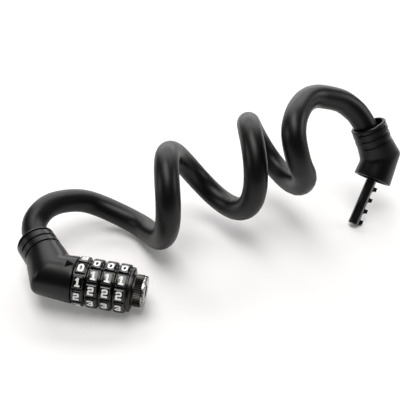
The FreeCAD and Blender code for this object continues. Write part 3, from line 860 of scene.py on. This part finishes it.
@dataclass
class Rod:
    """Rod of the bolt with its four square teeth, hollow at their feet, and the pin through its root.

    Places are measured from the housing's face. A tooth has a length, a width and a height above the
    axis, and feet are the radii of its hollows, towards the rim and the tip. The pin has its place, its
    radius and half its length.
    """

    head: Head
    length: float
    radius: float = 2.8
    root: float = -8.0
    steps: int = 48
    tip_chamfer: float = 0.4
    teeth: int = 4
    teeth_turn: float = 318.0
    tooth_first: float = 4.6
    tooth: Triple = (2.2, 2.2, 4.6)
    feet: Pair = (0.4, 1.3)
    sunk: float = 1.0
    tip_slope: float = 1.4
    tip_drop: float = 0.2
    pin: Triple = (-7.0, 0.9, 7.5)
    pin_steps: int = 24

    def tooth_outline(self, k: int) -> list[Pair]:
        """Draws one tooth from the side.

        Args:
            k: Its number from the rim.

        Returns:
            Distances along the rod and from its axis.
        """
        long, wide, high = self.tooth
        foot = math.sqrt(self.radius ** 2 - (wide / 2) ** 2)
        near = self.tooth_first + k * DIAL_PITCH - long / 2
        points = [(near - self.feet[0], foot - self.sunk), *self.hollow(near, -self.feet[0], foot)]
        if k == self.teeth - 1:
            return points + [(near, high), (self.length - self.tip_slope, high),
                             (self.length, foot - self.tip_drop), (self.length, foot - self.sunk)]
        far = near + long
        points += [(near, high), (far, high), *reversed(self.hollow(far, self.feet[1], foot))]
        return points + [(far + self.feet[1], foot - self.sunk)]

    def hollow(self, wall: float, away: float, foot: float) -> list[Pair]:
        """Rounds the corner from the rod up to a wall of a tooth.

        Args:
            wall: Place of the wall along the rod.
            away: Radius, below zero on the rim's side.
            foot: Height of the rod's surface under the tooth.

        Returns:
            Points of a quarter circle from the rod to the wall.
        """
        turns = [math.pi / 2 * i / 5 for i in range(6)]
        return [(wall + away * (1 - math.sin(turn)), foot + abs(away) * (1 - math.cos(turn)))
                for turn in turns]

    def build(self) -> None:
        """Makes the rod with its teeth, and the pin."""
        profile = [(self.root, self.radius), (self.length - self.tip_chamfer, self.radius),
                   (self.length, self.radius - self.tip_chamfer)]
        shape = skin(turned(profile, self.steps))
        half_width = self.tooth[1] / 2
        for k in range(self.teeth):
            outline = self.tooth_outline(k)
            left, right = ([shape.verts.new((x, y, z)) for x, y in outline]
                           for z in (-half_width, half_width))
            walls = [shape.faces.new(left), shape.faces.new(right)]
            for i in range(len(outline)):
                j = (i + 1) % len(outline)
                walls.append(shape.faces.new((left[i], left[j], right[j], right[i])))
            bmesh.ops.recalc_face_normals(shape, faces=walls)
        mesh = finished(shape, self.head.frame(self.teeth_turn))
        add_piece("toothed_rod", mesh, ROOT, BLACK_OXIDE, ("bolt_rod",))
        at, pin_r, half_length = self.pin
        rings = [[Vector((at + p.y, p.z, p.x)) for p in ring]
                 for ring in turned([(-half_length, pin_r), (half_length, pin_r)], self.pin_steps)]
        mesh = finished(skin(rings), self.head.frame(self.teeth_turn + 90))
        add_piece("short_rod_pin", mesh, ROOT, PLATED_STEEL, ("rod_pin",))


@dataclass
class IndexMark:
    """Small printed triangle on the housing that points at the dials.

    It is a sheet that follows the housing at the distance ink, found by rays from reach inwards. Its
    middle line stands middle degrees up from level.
    """

    head: Head
    housing: bpy.types.Object
    middle: float = 95.0
    tip: float = -0.2
    length: float = 4.0
    width: float = 4.3
    ink: float = 0.08
    reach: float = 20.0
    steps: int = 12

    def build(self) -> None:
        """Lays the triangle on the housing, in strips across it."""
        place = self.head.frame(self.middle)
        out = Vector(place.col[1][:3])
        surface = BVHTree.FromPolygons([v.co for v in self.housing.data.vertices],
                                       [p.vertices for p in self.housing.data.polygons])
        shape = bmesh.new()
        rows = []
        for i in range(self.steps + 1):
            share = i / self.steps
            back = self.tip - self.length * (1 - share)
            row = []
            for j in range(self.steps + 1):
                beside = self.width / 2 * (1 - share) * (2 * j / self.steps - 1)
                start = place @ Vector((back * MM, self.reach * MM, beside * MM))
                spot = surface.ray_cast(start, -out)[0]
                row.append(shape.verts.new(spot + out * (self.ink * MM)))
            rows.append(row)
        for near, far in zip(rows, rows[1:]):
            for a, b, c, d in zip(near, near[1:], far[1:], far):
                shape.faces.new((a, b, c, d))
        bmesh.ops.remove_doubles(shape, verts=shape.verts[:], dist=1e-7)
        bmesh.ops.recalc_face_normals(shape, faces=shape.faces[:])
        if sum((f.normal.dot(out) for f in shape.faces), 0.0) < 0:
            bmesh.ops.reverse_faces(shape, faces=shape.faces[:])
        mesh = bpy.data.meshes.new("index_mark")
        shape.to_mesh(mesh)
        shape.free()
        add_piece("index_mark", mesh, ROOT, INDEX_INK)


def between(rows: tuple[tuple[float, ...], ...], share: float) -> list[float]:
    """Reads a smooth curve through equally spaced rows of numbers.

    Args:
        rows: The rows, first to last.
        share: How far along them, from 0 to 1.

    Returns:
        One row at that share.
    """
    at = share * (len(rows) - 1)
    spots = range(len(rows))
    weights = [math.prod((at - j) / (i - j) for j in spots if j != i) for i in spots]
    return [sum(weight * value for weight, value in zip(weights, column)) for column in zip(*rows)]


@dataclass
class Cable:
    """The jacketed cable, one smooth line from collar to collar through its loops.

    The arches are control points, and a loop row is the middle of the loops there and their radius, in
    metres. The loops run along Y, turned loop_yaw degrees towards -X, and up, where they lean by
    loop_top_lean along X and Y. The cable starts inside millimetres within each collar.
    """

    lock: Elbow
    bolt: Elbow
    radius: float = 6.0 * MM
    length: float = 0.489
    inside: float = 12.0
    lock_arch: tuple[Triple, ...] = (
        (-0.0955, -0.0095, 0.0195), (-0.0900, 0.0065, 0.0240), (-0.0760, 0.0180, 0.0190),
        (-0.0650, 0.0215, 0.0122), (-0.0430, 0.0132, 0.0052))
    bolt_arch: tuple[Triple, ...] = (
        (0.0355, 0.0050, 0.0505), (0.0320, 0.0135, 0.0665), (0.0425, 0.0385, 0.0685),
        (0.0590, 0.0445, 0.0630), (0.0655, 0.0455, 0.0590), (0.0736, 0.0441, 0.0520))
    loop_rows: tuple[tuple[float, float, float, float], ...] = (
        (-0.0439, 0.0063, 0.0244, 0.0181), (-0.0086, 0.0111, 0.03465, 0.02015),
        (0.0230, 0.0292, 0.0378, 0.0180), (0.0381, 0.0067, 0.0403, 0.0085))
    loop_yaw: float = 20.95
    loop_top_lean: Pair = (-0.23, -0.032)
    loop_turns: float = 2.5
    points_per_turn: int = 12
    last_points_by_hand: int = 2

    def loops(self) -> list[Vector]:
        """Works out the control points of the loops.

        Returns:
            Points from just after the first bottom to where the last arch begins.
        """
        yaw = math.radians(self.loop_yaw)
        side = Vector((-math.sin(yaw), math.cos(yaw), 0))
        top = Vector((*self.loop_top_lean, 1)).normalized()
        step = 2 * math.pi / self.points_per_turn
        # A spline of order 3 runs inside its control points, so they stand out by this much
        outside = 1 / (0.75 + 0.25 * math.cos(step))
        count = round(self.loop_turns * self.points_per_turn)
        points = []
        for i in range(1, count - self.last_points_by_hand):
            x, y, z, radius = between(self.loop_rows, i / count)
            angle = math.pi + step * i
            points.append(Vector((x, y, z)) + top * (radius * outside * math.cos(angle))
                          + side * (radius * outside * math.sin(angle)))
        return points

    def build(self) -> None:
        seats = [elbow.head.frame(elbow.roll) @ (elbow.on_collar(elbow.reach - self.inside) * MM)
                 for elbow in (self.lock, self.bolt)]
        route = [seats[0], *self.lock_arch, *self.loops(), *self.bolt_arch, seats[1]]
        curve = bpy.data.curves.new("cable_jacket", "CURVE")
        curve.dimensions = "3D"
        curve.bevel_depth = self.radius
        curve.bevel_resolution = 8
        curve.resolution_u = 10
        curve.use_fill_caps = True
        spline = curve.splines.new("NURBS")
        spline.points.add(len(route) - 1)
        for point, place in zip(spline.points, route):
            point.co = (*place, 1.0)
        spline.order_u = 3
        spline.use_endpoint_u = True
        curve.materials.append(PVC_JACKET.material())
        piece = put("cable_jacket", curve)
        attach(piece, ROOT)
        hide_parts("cable")
        log.info("cable_jacket: %d control points", len(route))


@dataclass(frozen=True)
class SoftBox:
    """One lamp: its place, the point that it faces, its width and height, watts and colour."""

    name: str
    at: Triple
    aim: Triple
    size: Pair
    power: float
    colour: str = "#ffffff"

    def build(self) -> None:
        """Hangs the lamp."""
        light = bpy.data.lights.new(self.name, "AREA")
        light.shape = "RECTANGLE"
        light.size, light.size_y = self.size
        light.energy = self.power
        light.color = linear(self.colour)[:3]
        lamp = put(self.name, light)
        lamp.location = self.at
        lamp.rotation_euler = (Vector(self.aim) - Vector(self.at)).to_track_quat("-Z", "Y").to_euler()


@dataclass
class Studio:
    """Pale floor, soft light and the camera at the photograph's viewing angle.

    The floor lies floor_drop millimetres below the table's level. The camera alone sees floor_lift added
    to it, and a white surround. The object gets a surround of strength surround.
    """

    focal_px: float = 650.0
    frame_px: float = 416.0
    sensor_mm: float = 36.0
    clip: Pair = (0.01, 20.0)
    camera_at: Triple = (-0.00962, -0.25428, 0.22378)
    pitch: float = 37.8
    heading: float = -0.45
    floor_size: float = 6.0
    floor_drop: float = 0.02
    floor_lift: float = 0.12
    surround: float = 0.06
    lamps: tuple[SoftBox, ...] = (
        SoftBox("overhead", (-0.10, -0.05, 1.50), (0, 0, 0), (1.30, 0.70), 16.0, "#fffefb"),
        SoftBox("back", (0.00, 1.15, 1.20), (0, 0.05, 0), (2.20, 0.55), 15.0),
        SoftBox("low_back", (0.00, 1.60, 0.45), (0, 0.05, 0), (2.60, 0.45), 14.0),
        SoftBox("left", (-1.40, -0.20, 0.60), (0, 0, 0.03), (0.70, 0.50), 3.0),
        SoftBox("right", (1.40, 0.20, 0.60), (0, 0, 0.03), (0.80, 0.40), 4.0))

    def floor(self) -> None:
        """Lays a pale floor, a little brighter to the camera, that keeps the shadows."""
        half = self.floor_size / 2
        mesh = bpy.data.meshes.new("floor")
        corners = [(-half, -half), (half, -half), (half, half), (-half, half)]
        mesh.from_pydata([(x, y, -self.floor_drop * MM) for x, y in corners], [], [(0, 1, 2, 3)])
        material = bpy.data.materials.new("pale_floor")
        material.use_nodes = True
        tree = material.node_tree
        tree.nodes.clear()
        paper = add_node(tree, "ShaderNodeBsdfDiffuse", {"Color": linear("#f2f0f0")})
        seen = add_node(tree, "ShaderNodeLightPath").outputs["Is Camera Ray"]
        level = add_node(tree, "ShaderNodeMath", {"operation": "MULTIPLY", 1: self.floor_lift}, {0: seen})
        lift = add_node(tree, "ShaderNodeEmission", {"Color": linear("#fffffd")}, {"Strength": level})
        both = add_node(tree, "ShaderNodeAddShader", {}, {0: paper, 1: lift})
        add_node(tree, "ShaderNodeOutputMaterial", {}, {"Surface": both})
        mesh.materials.append(material)
        put("floor", mesh)

    def world(self) -> None:
        """Gives the dim surround, white where the camera sees it."""
        world = bpy.data.worlds.new("surround")
        world.use_nodes = True
        tree = world.node_tree
        tree.nodes.clear()
        seen = add_node(tree, "ShaderNodeLightPath").outputs["Is Camera Ray"]
        level = add_node(tree, "ShaderNodeMath",
                         {"operation": "MULTIPLY_ADD", 1: 1 - self.surround, 2: self.surround}, {0: seen})
        shader = add_node(tree, "ShaderNodeBackground", {"Color": linear("#ffffff")}, {"Strength": level})
        add_node(tree, "ShaderNodeOutputWorld", {}, {"Surface": shader})
        bpy.context.scene.world = world

    def camera(self) -> None:
        """Sets the camera's lens, place and way from the photograph."""
        lens = bpy.data.cameras.new("camera")
        lens.sensor_width = self.sensor_mm
        lens.lens = self.focal_px / self.frame_px * self.sensor_mm
        lens.clip_start, lens.clip_end = self.clip
        view = put("camera", lens)
        view.location = self.camera_at
        view.rotation_euler = (math.radians(90 - self.pitch), 0, math.radians(self.heading))
        bpy.context.scene.camera = view

    def build(self) -> None:
        """Builds floor, light and camera."""
        self.floor()
        self.world()
        for lamp in self.lamps:
            lamp.build()
        self.camera()
        bpy.context.scene.view_settings.view_transform = "Standard"


def main() -> None:
    """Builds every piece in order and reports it."""
    logging.basicConfig(level=logging.INFO, format="%(name)s: %(message)s")
    rod_length = 26.0
    lock, bolt = lock_head(), bolt_head(rod_length)
    lock_elbow = Elbow("lock_shell", "lock_housing", lock, roll=5.0, radius=10.9, inner=(5.0, 10.9),
                       outer=(18.2, 9.3), leg=8.1, collar_r=9.4, collar_from=15.0, reach=26.0,
                       pocket=(4.2, 6.9))
    bolt_elbow = Elbow("bolt_shell", "bolt_housing", bolt, roll=129.3, radius=10.0, inner=(6.5, 9.9),
                       outer=(19.6, 8.3), leg=11.4, collar_r=9.3, collar_from=9.8, reach=20.9,
                       pocket=(6.0, 7.9), bend=49.0, mouth=(7.8, 7.0), groove_size=(1.6, 0.8))
    Studio().build()
    Cable(lock_elbow, bolt_elbow).build()
    for finish, nodes in CARRIED_OVER.items():
        for node in nodes:
            dress(node, finish)
    housing = lock_elbow.build()
    bolt_elbow.build()
    Dials(lock).build()
    ResetEnd(lock).build()
    Rod(bolt, rod_length).build()
    IndexMark(lock, housing).build()


if __name__ == "__main__":
    main()
